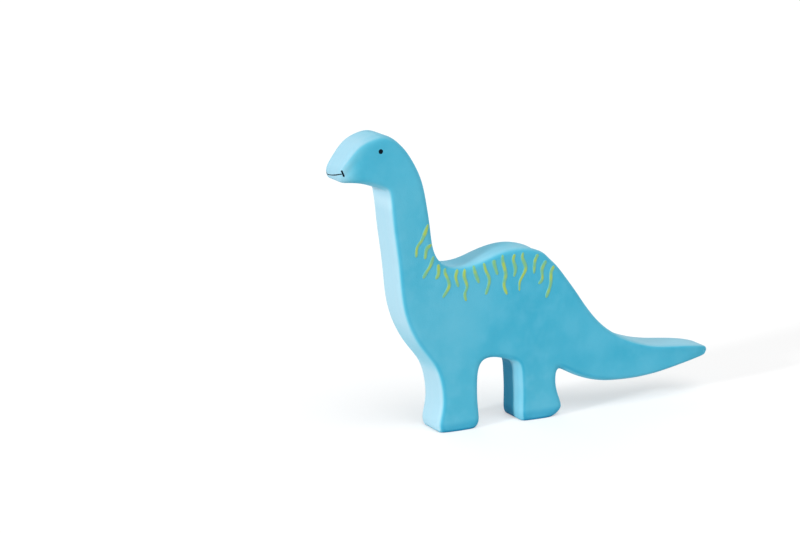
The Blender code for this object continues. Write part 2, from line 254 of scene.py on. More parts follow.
def side_sheet(rib_shares, tail_end, sole_level):
    """Return the side view as points and the quads over them."""
    points = []
    quads = []

    def row_of(first, last, middle=None):
        start = len(points)
        points.extend((first, middle or (first + last) / 2, last))
        return start, start + 1, start + 2

    def join(upper, lower):
        for left, right in ((0, 1), (1, 2)):
            quads.append((upper[left], upper[right], lower[right], lower[left]))

    ribs = [row_of(*side_points(shares)) for shares in rib_shares]
    for rib, following in zip(ribs, ribs[1:]):
        join(rib, following)
    join(row_of(*side_points(NOSE_SHARES)), ribs[0])
    join(ribs[-1], row_of(*tail_end))
    for first_rib, rows in ((FRONT_LEG_RIB, FRONT_LEG_SHARES), (HIND_LEG_RIB, HIND_LEG_SHARES)):
        above = tuple(ribs[first_rib + step][2] for step in range(POINTS_PER_ROW))
        for number, shares in enumerate(rows):
            below = row_of(*side_points(shares))
            if number == len(rows) - 1:
                for corner in below:
                    points[corner].y = sole_level
            join(above, below)
            above = below
    return points, quads


def outline_loop(quads):
    """Return the point numbers round the edge of the sheet, in order."""
    following = {}
    edges = {}
    for quad in quads:
        for a, b in zip(quad, quad[1:] + quad[:1]):
            key = (min(a, b), max(a, b))
            edges[key] = edges.get(key, 0) + 1
    for (a, b), uses in edges.items():
        if uses == 1:
            following.setdefault(a, []).append(b)
            following.setdefault(b, []).append(a)
    start = min(following)
    loop = [start, following[start][0]]
    while True:
        onward = [n for n in following[loop[-1]] if n != loop[-2]][0]
        if onward == start:
            return loop
        loop.append(onward)


def aim_outline(points, loop):
    """Push the outline's cage points out so that the smoothed outline runs through them."""
    aimed = {}
    for number, here in enumerate(loop):
        before = points[loop[number - 1]]
        after = points[loop[(number + 1) % len(loop)]]
        aimed[here] = points[here] - (before + after - 2 * points[here]) * SETTLE_SHARE
    for here, place in aimed.items():
        points[here] = place


def inward_steps(points, loop):
    """Return, for each outline point, the step inwards that insets both its edges by one."""
    pairs = list(zip(loop, loop[1:] + loop[:1]))
    area = sum(points[a].x * points[b].y - points[b].x * points[a].y for a, b in pairs)
    turn = math.copysign(1, area)
    steps = {}
    for number, here in enumerate(loop):
        before = points[loop[number - 1]]
        after = points[loop[(number + 1) % len(loop)]]
        first = (points[here] - before).normalized()
        second = (after - points[here]).normalized()
        first_normal = Vector((-first.y, first.x)) * turn
        second_normal = Vector((-second.y, second.x)) * turn
        middle = (first_normal + second_normal).normalized()
        steps[here] = middle / max(middle.dot(first_normal), LEAST_MITRE_COSINE)
    return steps


def edge_radii(points, quads, loop):
    """Return the edge radius at each outline point, less where the figure is slim."""
    on_outline = set(loop)
    radii = {}
    for here in loop:
        reach = min(
            (points[here] - points[other]).length
            for quad in quads if here in quad
            for other in quad if other not in on_outline
        )
        full_radius = EDGE_RADIUS * share_along(EDGE_SHARES, points[here].x)
        radii[here] = min(full_radius, reach * EDGE_REACH_SHARE)
    return radii


def rounded_slab(name, points, quads, rim_shares, inset=0, hollow_points=()):
    """Return a closed cage of the side view, with its thickness and its rounded edges."""
    loop = outline_loop(quads)
    aim_outline(points, loop)
    steps = inward_steps(points, loop)
    for here in loop:
        points[here] = points[here] + steps[here] * inset
    steps = inward_steps(points, loop)
    radii = edge_radii(points, quads, loop)
    halves = [share_along(THICKNESS_SHARES, p.x) * THICKNESS / 2 - inset for p in points]
    for here in loop:
        radii[here] = min(radii[here], halves[here] * EDGE_THICKNESS_SHARE)

    cage = bmesh.new()

    def ring_of(side, in_share, down_share):
        ring = {}
        for here in loop:
            place = points[here] + steps[here] * radii[here] * down_share
            y = side * (halves[here] - radii[here] * in_share)
            ring[here] = cage.verts.new((place.x, y, place.y))
        return ring

    middle_ring = {}
    for here in loop:
        dip = BACK_HOLLOW if here in hollow_points else 0
        place = points[here] + steps[here] * dip
        middle_ring[here] = cage.verts.new((place.x, 0, place.y))
    for side in (-1, 1):
        rings = [middle_ring] + [ring_of(side, *shares) for shares in rim_shares]
        corners = dict(rings[-1])
        for number, point in enumerate(points):
            if number not in corners:
                corners[number] = cage.verts.new((point.x, side * halves[number], point.y))
        for quad in quads:
            cage.faces.new([corners[number] for number in quad])
        for inner, outer in zip(rings, rings[1:]):
            for a, b in zip(loop, loop[1:] + loop[:1]):
                cage.faces.new((inner[a], inner[b], outer[b], outer[a]))
    bmesh.ops.recalc_face_normals(cage, faces=cage.faces)
    return object_of(name, cage)


def object_of(name, mesh_data):
    """Turn bmesh data into an object in the scene, shaded smooth."""
    mesh = bpy.data.meshes.new(name)
    mesh_data.to_mesh(mesh)
    mesh_data.free()
    mesh.shade_smooth()
    item = bpy.data.objects.new(name, mesh)
    bpy.context.scene.collection.objects.link(item)
    return item


def apply_modifiers(item):
    """Give an object the mesh that its modifiers make, and drop them."""
    evaluated = item.evaluated_get(bpy.context.evaluated_depsgraph_get())
    made = bpy.data.meshes.new_from_object(evaluated)
    item.modifiers.clear()
    item.data = made


def subdivide(item, levels):
    """Apply a Subdivision Surface to an object."""
    modifier = item.modifiers.new("Smooth form", "SUBSURF")
    modifier.levels = levels
    modifier.render_levels = levels
    apply_modifiers(item)


def cut_out(item, cutter):
    """Take a cutter's shape out of an object, and remove the cutter."""
    modifier = item.modifiers.new("Cut", "BOOLEAN")
    modifier.operation = "DIFFERENCE"
    modifier.solver = "MANIFOLD"
    modifier.object = cutter
    apply_modifiers(item)
    bpy.data.objects.remove(cutter, do_unlink=True)


def places_and_normals(mesh):
    """Return a mesh's points and their normals as arrays of rows."""
    places = np.empty(len(mesh.vertices) * 3)
    normals = np.empty(len(mesh.vertices) * 3)
    mesh.vertices.foreach_get("co", places)
    mesh.vertices.foreach_get("normal", normals)
    return places.reshape(-1, 3), normals.reshape(-1, 3)


def soften(item):
    """Give the skin the slight waves of a hand-made moulding, and flat soles."""
    places, normals = places_and_normals(item.data)
    for number, place in enumerate(places):
        spot = Vector(place) / WAVE_SIZE
        wave = noise.noise(spot) + FINE_WAVE_SHARE * noise.noise(spot * FINE_WAVE_SCALE)
        places[number] += normals[number] * wave * WAVE_HEIGHT
    places[:, 2] = np.maximum(places[:, 2], 0)
    item.data.vertices.foreach_set("co", places.ravel())
    item.data.update()


def make_skin():
    """Make the hollow rubber skin that stands for the moulding."""
    points, quads = side_sheet(RIB_SHARES, side_points(TAIL_TIP_SHARES), -SOLE_TRIM)
    hollow_points = {POINTS_PER_ROW * rib for rib in HOLLOW_RIBS}
    skin = rounded_slab("rubber_skin", points, quads, SHELL_RIM_SHARES, 0, hollow_points)
    subdivide(skin, SKIN_LEVELS)
    soften(skin)

    cavity_ribs = RIB_SHARES[:-SOLID_TAIL_RIBS]
    end, beyond = cavity_ribs[-1], RIB_SHARES[-SOLID_TAIL_RIBS]
    cavity_end = [a.lerp(b, CAVITY_TIP_SHARE)
                  for a, b in zip(side_points(end), side_points(beyond))]
    points, quads = side_sheet(cavity_ribs, cavity_end, 0)
    cavity = rounded_slab("cavity", points, quads, CAVITY_RIM_SHARES, WALL)
    subdivide(cavity, CAVITY_LEVELS)
    cut_out(skin, cavity)

    plug_low, plug_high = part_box("pour_hole_plug")
    axis = (plug_low + plug_high) / 2
    for radius, low, high in (
        (POUR_HOLE_RADIUS, -CUT_OVERRUN, WALL + SOLE_TRIM),
        (POUR_HOLE_RADIUS + SEAT_OVERLAP, WALL, plug_high.z + SOLE_TRIM),
    ):
        tube = bmesh.new()
        place = Matrix.Translation((axis.x, axis.y, (low + high) / 2))
        bmesh.ops.create_cone(tube, cap_ends=True, segments=HOLE_SIDES, radius1=radius,
                              radius2=radius, depth=high - low, matrix=place)
        cut_out(skin, object_of("pour_hole", tube))
    return skin


class Surface:
    """The skin's outer surface, to set marks on."""

    def __init__(self, item):
        self.tree = BVHTree.FromObject(item, bpy.context.evaluated_depsgraph_get())

    def seen_at(self, pixel):
        """Return the place and normal of the surface under a pixel of the photograph."""
        return self.tree.ray_cast(CAMERA_PLACE, pixel_ray(pixel))[:2]

    def beside(self, x, z, side):
        """Return the place and normal on one side of the figure."""
        start = Vector((x, side * THICKNESS, z))
        return self.tree.ray_cast(start, Vector((0, -side, 0)))[:2]

    def nearest(self, place):
        """Return the nearest place on the surface, and its normal."""
        return self.tree.find_nearest(place)[:2]


def camera_axes():
    """Return the camera's right, up and forward directions."""
    forward = Vector((
        math.sin(CAMERA_TURN) * math.cos(CAMERA_TILT),
        math.cos(CAMERA_TURN) * math.cos(CAMERA_TILT),
        -math.sin(CAMERA_TILT),
    ))
    right = Vector((math.cos(CAMERA_TURN), -math.sin(CAMERA_TURN), 0))
    return right, right.cross(forward), forward


def pixel_ray(pixel):
    """Return the direction in which the camera sees a pixel."""
    right, up, forward = camera_axes()
    focal_px = LENS_MM / SENSOR_MM * FRAME_WIDTH_PX
    across = (pixel[0] - FRAME_WIDTH_PX / 2) / focal_px
    down = (pixel[1] - FRAME_HEIGHT_PX / 2) / focal_px
    return (forward + right * across - up * down).normalized()


def smooth_line(points, step):
    """Return points along a Catmull-Rom curve through the given points, about a step apart."""
    ends = [2 * points[0] - points[1]] + list(points) + [2 * points[-1] - points[-2]]
    line = []
    for before, start, end, after in zip(ends, ends[1:], ends[2:], ends[3:]):
        count = max(2, round((end - start).length / step))
        for number in range(count):
            t = number / count
            line.append(0.5 * (
                2 * start + (end - before) * t
                + (2 * before - 5 * start + 4 * end - after) * t ** 2
                + (3 * start - before - 3 * end + after) * t ** 3))
    line.append(points[-1].copy())
    return line


def pattern_at(pattern, place, seed):
    """Return a pattern's noise at one place along the line that a seed names."""
    pace, apart, layer = pattern
    return noise.noise(Vector((place * pace, seed * apart, layer)))


def brush(mesh_data, surface, centres, width_at, height, seed):
    """Add one brushed line of paint to the mesh data, closed and hugging the surface."""
    layers = mesh_data.verts.layers.float
    tints = layers.get("tint") or layers.new("tint")
    covers = layers.get("cover") or layers.new("cover")
    rings = []
    last = len(centres) - 1
    for number, centre in enumerate(centres):
        along = centres[min(number + 1, last)] - centres[max(number - 1, 0)]
        place, normal = surface.nearest(centre)
        across = along.cross(normal).normalized()
        half_width = width_at(number / last) / 2
        ring = []
        for corner in range(MARK_SIDES):
            angle = 2 * math.pi * corner / MARK_SIDES
            spot, up = surface.nearest(place + across * half_width * math.cos(angle))
            rise = height if math.sin(angle) > 0 else MARK_SINK
            made = mesh_data.verts.new(spot + up * rise * math.sin(angle))
            made[tints] = pattern_at(TINT_PATTERN, number, seed)
            made[covers] = math.sin(angle)
            ring.append(made)
        rings.append(ring)
    for ring, following in zip(rings, rings[1:]):
        for a in range(MARK_SIDES):
            b = (a + 1) % MARK_SIDES
            mesh_data.faces.new((ring[a], ring[b], following[b], following[a]))
    mesh_data.faces.new(rings[0])
    mesh_data.faces.new(rings[-1])


def brush_width(full, seed):
    """Return a function for the width along a line: rounded ends, a sway and a taper."""
    def width_at(share):
        ends = math.sqrt(max(0, 1 - abs(2 * share - 1) ** END_POWER))
        sway = 1 + SWAY_SHARE * pattern_at(SWAY_PATTERN, share, seed)
        taper = START_WIDTH_SHARE - TAPER_SHARE * share
        return full * max(ends, LEAST_END_SHARE) * sway * taper
    return width_at


def flattened(line):
    """Return a line with the same ends and shallower bends."""
    start = line[0]
    chord = (line[-1] - start).normalized()
    straight = [start + chord * (point - start).dot(chord) for point in line]
    return [point.lerp(flat, FLATTENING_SHARE) for point, flat in zip(line, straight)]


def make_strokes(surface):
    """Brush the wavy strokes down both sides of the back."""
    lines = []
    for pixels in STROKE_PIXELS:
        seen = [surface.seen_at(pixel)[0] for pixel in pixels]
        lines.append([Vector((p.x, 0, p.z)) for p in seen if p])
    # The right side's strokes have the same ends as the left side's, and flatter bends
    flat_lines = [flattened(line) for line in lines]
    for name, side, drawn, first_seed in (
        ("strokes_left_side", -1, lines, 0),
        ("strokes_right_side", 1, flat_lines, len(lines)),
    ):
        paint = bmesh.new()
        for seed, line in enumerate(drawn, first_seed):
            hits = [surface.beside(p.x, p.z, side)[0] for p in smooth_line(line, MARK_STEP)]
            centres = [hit for hit in hits if hit]
            brush(paint, surface, centres, brush_width(STROKE_WIDTH, seed), STROKE_HEIGHT, seed)
        bmesh.ops.recalc_face_normals(paint, faces=paint.faces)
        finish_mark(object_of(name, paint), stroke_material())


def make_eyes(surface):
    """Paint a round eye on each side of the head."""
    seen = surface.seen_at(EYE_PIXEL)[0]
    for name, side in (("eye_left", -1), ("eye_right", 1)):
        centre, normal = surface.beside(seen.x, seen.z, side)
        across = normal.orthogonal().normalized()
        upward = normal.cross(across)
        disc = bmesh.new()
        layers = []
        for lift in (EYE_HEIGHT, -MARK_SINK):
            rings = []
            for ring in range(1, EYE_RINGS + 1):
                share = ring / EYE_RINGS
                corners = []
                for number in range(EYE_SIDES):
                    angle = 2 * math.pi * number / EYE_SIDES
                    offset = across * math.cos(angle) + upward * math.sin(angle)
                    spot, up = surface.nearest(centre + offset * EYE_DIAMETER / 2 * share)
                    rise = lift * math.sqrt(max(0, 1 - share ** EYE_DOME_POWER))
                    corners.append(disc.verts.new(spot + up * rise))
                rings.append(corners)
            layers.append((disc.verts.new(centre + normal * lift), rings))
        for tip, rings in layers:
            for a in range(EYE_SIDES):
                b = (a + 1) % EYE_SIDES
                disc.faces.new((tip, rings[0][a], rings[0][b]))
                for inner, outer in zip(rings, rings[1:]):
                    disc.faces.new((inner[a], outer[a], outer[b], inner[b]))
        bmesh.ops.remove_doubles(disc, verts=disc.verts, dist=WELD_DISTANCE)
        bmesh.ops.recalc_face_normals(disc, faces=disc.faces)
        finish_mark(object_of(name, disc), face_material())


def make_mouth(surface):
    """Paint the thin mouth round the snout, with a tick at each corner."""
    paint = bmesh.new()
    seen = [surface.seen_at(pixel)[0] for pixel in MOUTH_PIXELS]
    corner = [surface.seen_at(pixel)[0] for pixel in MOUTH_CORNER_PIXELS]
    far_end = [Vector((p.x, -p.y, p.z)) for p in (seen[1], seen[0])]
    line = smooth_line(seen + far_end, MARK_STEP)
    width = brush_width(MOUTH_WIDTH, MOUTH_SEED)
    brush(paint, surface, line, width, MOUTH_HEIGHT, MOUTH_SEED)
    for side in (1, -1):
        tick = smooth_line([Vector((p.x, p.y * side, p.z)) for p in corner], MARK_STEP)
        width = brush_width(MOUTH_WIDTH * TICK_WIDTH_SHARE, TICK_SEED)
        brush(paint, surface, tick, width, MOUTH_HEIGHT, TICK_SEED)
    bmesh.ops.recalc_face_normals(paint, faces=paint.faces)
    finish_mark(object_of("mouth", paint), face_material())


def finish_mark(item, material):
    """Give a mark its paint and let it ride with the skin."""
    item.data.materials.append(material)
    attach(item, "figure")


# Where the parts of the figure lie, in metres along, across or up. A pair gives the two places
# between which a part begins or ends.
HEAD_BOTTOM = (0.100, 0.112)
TAIL_FRONT = (0.030, 0.050)
HIND_LEG_FRONT = (-0.030, -0.016)
HIND_LEG_REAR = (0.014, 0.020)
HIND_LEG_TOP = 0.045
LEGS_TOP = (0.016, 0.036)
LEGS_REAR = (0.006, 0.018)
SHOULDERS_REAR = (-0.045, -0.010)
NECK_TOP = (0.106, 0.118)
NEAR_SIDE_START = (0.0010, 0.0026)
SOLE_EDGE_TOP = (0.0002, 0.0014)
FRONT_FOOT_TOP = 0.0052
HIND_FOOT_EXTRA = 0.0006
FOOT_FADE_SHARE = 0.4
THROAT_FRONT = (-0.078, -0.073)
THROAT_BOTTOM = (0.100, 0.106)
THROAT_TOP = (0.106, 0.111)
BACK_SLOPE_SIDE = (-0.0068, -0.0040)
BACK_BOTTOM = 0.05

# Which way the surface faces. Angles are in degrees round the edge: 0 to the front, 90 up and
# -90 down. The other numbers are parts of a normal: how far it points to the front, or has
# turned out of the side, from 0 to 1.
FACING_UP = (55, 80)
FACING_FRONT = (0.15, 0.55)
FACING_FRONT_AT_THROAT = (0.3, 0.7)
SLOPE_ANGLE_STARTS = (60, 75)
SLOPE_ANGLE_ENDS = (86, 96)
EDGE_ANGLE_ENDS = (60, 90)
EDGE_TURN_STARTS = (0.04, 0.16)
EDGE_TURN_ENDS = (0.30, 0.60)
RIM_START = 0.28
RIM_START_CUT_ON_HEAD = 0.10
RIM_START_RISE_ON_BACK = 0.14
RIM_SPAN = 0.60

# How pale the edge faces are, by the way that they face: partly a thin wash, partly painted light
# that makes faces turned to the front and up paler and leaves the undersides full blue
BODY_ANGLES = (-95, -70, -45, -20, 50, 75, 100, 120, 150)
BODY_PALENESS = (0, 0.48, 0.68, 1, 1, 0.62, 0.60, 0.44, 0.18)
HEAD_ANGLES = (-95, -70, -35, 60, 85, 110, 140)
HEAD_PALENESS = (0, 0.62, 1, 1, 0.74, 0.58, 0)
TAIL_ANGLES = (60, 105, 120, 140, 160)
TAIL_PALENESS = (0.76, 0.78, 0.56, 0.25, 0)
FACE_PALENESS = 0.98
HIND_LIT_STRIP_PALENESS = 0.62
SIDE_PALENESS = 0.17

# How much deeper the colour is, and less deep where it is lighter: painted shade on the hind
# leg's front, the feet, the soles and the back, painted light under the jaw and on the head's
# sides, and a deeper tone on the head's pale faces and the front edges
HIND_FRONT_SHADE_DEPTH = 0.28
FRONT_FOOT_SHADE = 0.25
HIND_FOOT_SHADE = 0.35
SOLE_EDGE_SHADOW = 0.80
HEAD_DEPTH = 0.18
EDGE_DEPTH = 0.12
BACK_SHADE_DEPTH = 0.12
THROAT_PAINTED_LIGHT = 0.24
FACE_FADE_LIGHTENING = 0.16

# The round patch of full blue on each side of the head: its middle, how far out the blue fades,
# and the ways from the middle, in degrees up from the front, between which it does
FACE_CENTRE = Vector((-0.072, 0.120))
FACE_FADE_REACH = (0.0115, 0.0240)
FACE_FADE_POWER = 0.75
FACE_FADE_STARTS = (-60, -30)
FACE_FADE_ENDS = (70, 105)


def rising(values, low, high):
    """Return a smooth step from 0 at low to 1 at high, for an array of values."""
    share = np.clip((values - low) / (high - low), 0, 1)
    return share * share * (3 - 2 * share)


def falling(values, low, high):
    """Return a smooth step from 1 at low to 0 at high, for an array of values."""
    return 1 - rising(values, low, high)


class SkinPoints:
    """Where the points of the skin lie and face, and how far each is on a part of the figure."""

    def __init__(self, mesh):
        places, normals = places_and_normals(mesh)
        self.x, self.y, self.z = places.T
        self.to_front = -normals[:, 0]
        # 0 on the sides and 1 on the middle line of an edge
        self.turned_out = np.hypot(normals[:, 0], normals[:, 2])
        self.angle = np.degrees(np.arctan2(normals[:, 2], self.to_front))

        self.on_head = rising(self.z, *HEAD_BOTTOM)
        self.on_tail = rising(self.x, *TAIL_FRONT)
        hind_leg = rising(self.x, *HIND_LEG_FRONT) * falling(self.x, *HIND_LEG_REAR)
        self.on_hind_leg = hind_leg * (self.z < HIND_LEG_TOP)
        self.on_hind_front = rising(self.to_front, *FACING_FRONT) * self.on_hind_leg
        self.on_near_side = rising(-self.y, *NEAR_SIDE_START)

        on_back = rising(self.angle, *FACING_UP) * (1 - self.on_head) * (1 - self.on_tail)
        rim_start = RIM_START - RIM_START_CUT_ON_HEAD * self.on_head
        rim_start = rim_start + RIM_START_RISE_ON_BACK * on_back
        self.on_rim = rising(self.turned_out, rim_start, rim_start + RIM_SPAN)


def face_fade(skin):
    """Return how far the blue fades towards the snout and brow on the sides of the head: partly a
    thin wash, partly painted light on the rounded head.
    """
    ahead = FACE_CENTRE.x - skin.x
    above = skin.z - FACE_CENTRE.y
    way = np.degrees(np.arctan2(above, ahead))
    round_face = rising(way, *FACE_FADE_STARTS) * falling(way, *FACE_FADE_ENDS) * skin.on_head
    return rising(np.hypot(ahead, above), *FACE_FADE_REACH) ** FACE_FADE_POWER * round_face


def paleness_with_painted_light(skin, fade):
    """Return how pale each point is: partly a thin wash, partly painted light on faces turned to
    the lamps.
    """
    body = np.interp(skin.angle, BODY_ANGLES, BODY_PALENESS)
    head = np.interp(skin.angle, HEAD_ANGLES, HEAD_PALENESS)
    tail = np.interp(skin.angle, TAIL_ANGLES, TAIL_PALENESS)
    by_angle = body + (head - body) * skin.on_head + (tail - body) * skin.on_tail
    # Painted light on the edges, by the way that they face; the hind leg, in the front leg's
    # shadow, gets none here
    edge = skin.on_rim * by_angle * (1 - skin.on_hind_leg)
    # The sides are a little paler on the neck, shoulders and legs than on the rump and tail
    legs = falling(skin.z, *LEGS_TOP) * falling(skin.x, *LEGS_REAR)
    in_front = np.maximum(falling(skin.x, *SHOULDERS_REAR), legs)
    in_front = in_front * falling(skin.z, *NECK_TOP) * (1 - skin.on_hind_front)
    # Painted light: the front face of the hind leg is paler on the near side, where the key
    # lamp's light passes the front leg
    painted_lit_strip = skin.on_hind_front * skin.on_near_side
    pale = np.maximum(edge, fade * FACE_PALENESS)
    pale = np.maximum(pale, in_front * SIDE_PALENESS)
    return np.maximum(pale, painted_lit_strip * HIND_LIT_STRIP_PALENESS)


def depth_with_painted_shade(skin, fade, pale):
    """Return how deep the colour is at each point, painted shade and light included: 1 is as
    mixed, more is deeper and less is lighter.
    """
    # Painted shade deepens the rest of the hind leg's front face, in the front leg's shadow,
    # beside its painted lit strip
    depth = 1 + HIND_FRONT_SHADE_DEPTH * skin.on_hind_front * (1 - skin.on_near_side)
    depth += HEAD_DEPTH * skin.on_head * pale
    # Painted shade darkens the feet towards the floor, and a painted contact shadow darkens the
    # edges of the soles
    foot_top = FRONT_FOOT_TOP + HIND_FOOT_EXTRA * skin.on_hind_leg
    on_foot = falling(skin.z, foot_top * FOOT_FADE_SHARE, foot_top) * (1 - pale)
    foot_shade = FRONT_FOOT_SHADE + (HIND_FOOT_SHADE - FRONT_FOOT_SHADE) * skin.on_hind_leg
    depth += foot_shade * on_foot
    depth += SOLE_EDGE_SHADOW * falling(skin.z, *SOLE_EDGE_TOP) * (1 - pale)
    # Painted light under the jaw, on the front face of the neck, lifts the colour where the jaw
    # shades it; the faded sides of the head are lightened too, partly painted light
    throat = rising(skin.to_front, *FACING_FRONT_AT_THROAT) * rising(skin.x, *THROAT_FRONT)
    throat = throat * rising(skin.z, *THROAT_BOTTOM) * falling(skin.z, *THROAT_TOP)
    depth -= THROAT_PAINTED_LIGHT * throat + FACE_FADE_LIGHTENING * fade * (1 - skin.on_rim)
    # Darker along the front edges of the sides, and painted shade on the front slope of the back
    # away from its near edge
    edge = rising(skin.turned_out, *EDGE_TURN_STARTS) * falling(skin.turned_out, *EDGE_TURN_ENDS)
    edge = edge * falling(np.abs(skin.angle), *EDGE_ANGLE_ENDS) * (1 - skin.on_head)
    slope = rising(skin.angle, *SLOPE_ANGLE_STARTS) * falling(skin.angle, *SLOPE_ANGLE_ENDS)
    slope = slope * rising(skin.y, *BACK_SLOPE_SIDE) * skin.on_rim
    slope = slope * (skin.z > BACK_BOTTOM) * (1 - skin.on_head)
    return depth + EDGE_DEPTH * edge + BACK_SHADE_DEPTH * slope


def store_paleness_and_shading(item):
    """Store at each point how pale and how deep its colour is, painted light and shade included.
    """
    skin = SkinPoints(item.data)
    fade = face_fade(skin)
    pale = paleness_with_painted_light(skin, fade)
    depth = depth_with_painted_shade(skin, fade, pale)
    for name, values in (("pale", pale), ("depth", depth)):
        attribute = item.data.attributes.new(name, "FLOAT", "POINT")
        attribute.data.foreach_set("value", values.astype(np.float32))


# The sockets of a Mix node that mixes colours
MIX_FACTOR = 0
MIX_FIRST = 6
MIX_SECOND = 7
MIX_RESULT = 2


class Nodes:
    """A small helper that builds a material's nodes."""

    def __init__(self, name):
        self.material = bpy.data.materials.new(name)
        self.material.use_nodes = True
        self.tree = self.material.node_tree
        self.shader = self.tree.nodes["Principled BSDF"]

    def add(self, kind, inputs=None, **settings):
        """Add a node, with links to the inputs that are sockets and values in the others."""
        node = self.tree.nodes.new(kind)
        for key, value in settings.items():
            setattr(node, key, value)
        for key, value in (inputs or {}).items():
            if isinstance(value, bpy.types.NodeSocket):
                self.tree.links.new(value, node.inputs[key])
            else:
                node.inputs[key].default_value = value
        return node

    def attribute(self, name):
        """Return a value that is stored at the mesh's points."""
        return self.add("ShaderNodeAttribute", attribute_name=name).outputs["Fac"]

    def place(self):
        """Return the place on the object."""
        return self.add("ShaderNodeTexCoord").outputs["Object"]

    def stretched(self, scale):
        """Return the place, scaled along each axis."""
        return self.add("ShaderNodeMapping", {"Vector": self.place(), "Scale": scale}).outputs[0]

    def noise(self, scale, detail, roughness=0.5, vector=None):
        """Return smooth noise of a scale in waves per metre."""
        inputs = {"Scale": scale, "Detail": detail, "Roughness": roughness}
        inputs["Vector"] = vector or self.place()
        return self.add("ShaderNodeTexNoise", inputs).outputs["Fac"]

    def ramp(self, value, low, high, to_low=0.0, to_high=1.0):
        """Return a value that goes from to_low to to_high while another goes from low to high."""
        inputs = {"Value": value, "From Min": low, "From Max": high, "To Min": to_low,
                  "To Max": to_high}
        return self.add("ShaderNodeMapRange", inputs).outputs["Result"]

    def math(self, operation, first, second):
        """Return the result of an operation on two values."""
        return self.add("ShaderNodeMath", {0: first, 1: second}, operation=operation).outputs[0]

    def mix(self, factor, first, second, blend="MIX"):
        """Return the first colour, turned into the second one as the factor goes from 0 to 1."""
        inputs = {MIX_FACTOR: factor}
        for key, colour in ((MIX_FIRST, first), (MIX_SECOND, second)):
            inputs[key] = (*colour, 1) if isinstance(colour, tuple) else colour
        node = self.add("ShaderNodeMix", inputs, data_type="RGBA", blend_type=blend)
        return node.outputs[MIX_RESULT]

    def deepened(self, colour, power):
        """Return a colour raised to a power, which is deeper the higher the power is."""
        return self.add("ShaderNodeGamma", {"Color": colour, "Gamma": power}).outputs[0]

    def wash(self, ground, paint, thin):
        """Lay a wash of paint over a pale ground, which shows the more the thinner it is."""
        ground = self.deepened((*ground, 1), thin)
        paint = self.deepened(paint, self.math("SUBTRACT", 1.0, thin))
        return self.mix(1.0, ground, paint, "MULTIPLY")

    def bump(self, height, distance):
        """Return the normal of a surface with this relief."""
        inputs = {"Height": height, "Distance": distance}
        return self.add("ShaderNodeBump", inputs).outputs["Normal"]

    def finish(self, colour, roughness, normal=None):
        """Link the shader's inputs, and return the material."""
        for name, value in (("Base Color", colour), ("Roughness", roughness), ("Normal", normal)):
            if value is not None:
                self.tree.links.new(value, self.shader.inputs[name])
        return self.material


# Noise: how many layers of finer noise it has, the part of its values that a plain ramp spreads
# out, and how deep a fine relief made of it is
LOW_DETAIL = 2
MIDDLE_DETAIL = 3
HIGH_DETAIL = 4
NOISE_RANGE = (0.3, 0.7)
FINE_RELIEF = 0.00003

# Blue wash on the skin. Scales are in waves per metre, along each axis for the streaks. Each
# layer of clouds has its scale and the most that it covers.
SIDE_BLUE = (0.065, 0.434, 0.612)
DEEP_BLUE = (0.052, 0.406, 0.586)
CLOUD_BLUE = (0.094, 0.464, 0.643)
PALE_BLUE = (0.392, 0.605, 0.712)
SPONGE_BLUE = (0.200, 0.500, 0.620)
MOTTLE_SCALE = 55
MOTTLE_RANGE = (0.35, 0.68)
CLOUD_LAYERS = ((26, 0.9), (110, 0.6))
CLOUD_RANGE = (0.46, 0.70)
STREAK_STRETCH = (40, 900, 28)
STREAK_ROUGHNESS = 0.6
STREAK_RANGE = (0.25, 0.75)
STREAK_THINNING = (0.94, 1.00)
SPONGE_SCALE = 420
SPONGE_COVER = 0.05
SPONGE_RELIEF_SHARE = 0.6
SKIN_GRAIN_SCALE = 1600
SKIN_RELIEF = 0.00006
SKIN_ROUGHNESS = (0.44, 0.54)
SKIN_SHINE = 0.08

# Yellow-green paint of the strokes
STROKE_YELLOW = (0.380, 0.530, 0.034)
STROKE_GREEN = (0.190, 0.470, 0.190)
STROKE_STREAK = (0.220, 0.490, 0.230)
STROKE_EDGE = (0.080, 0.430, 0.520)
STROKE_TINT_RANGE = (-0.28, 0.28)
STROKE_STREAK_SCALE = 900
STROKE_STREAK_RANGE = (0.35, 0.70)
STROKE_STREAK_COVER = 0.25
STROKE_COVER_RANGE = (0.30, 1.00)
STROKE_ROUGHNESS = (0.38, 0.52)

# Black paint of the face
FACE_BLACK = (0.001, 0.006, 0.012)
FACE_WORN_BLACK = (0.002, 0.010, 0.018)
FACE_GRAIN_SCALE = 1400
FACE_ROUGHNESS = (0.45, 0.55)
FACE_SHINE = 0.05

# The solids that stay: the start of their names, the material, its colour, the colour of its
# clouds, its roughness and the scale of its grain
MOULDED_FINISHES = (
    ("pour_hole_plug", "plug_rubber", (0.100, 0.480, 0.680), (0.080, 0.430, 0.620), 0.55, 1500),
    ("rattle_capsule", "capsule_plastic", (0.82, 0.83, 0.80), (0.76, 0.77, 0.73), 0.30, 900),
    ("rattle_bead", "bead_plastic", (0.86, 0.52, 0.12), (0.78, 0.44, 0.09), 0.25, 2000),
)
MOULDED_ROUGHNESS_SPAN = 0.08
MOULDED_CLOUD_SIZE_IN_GRAINS = 8


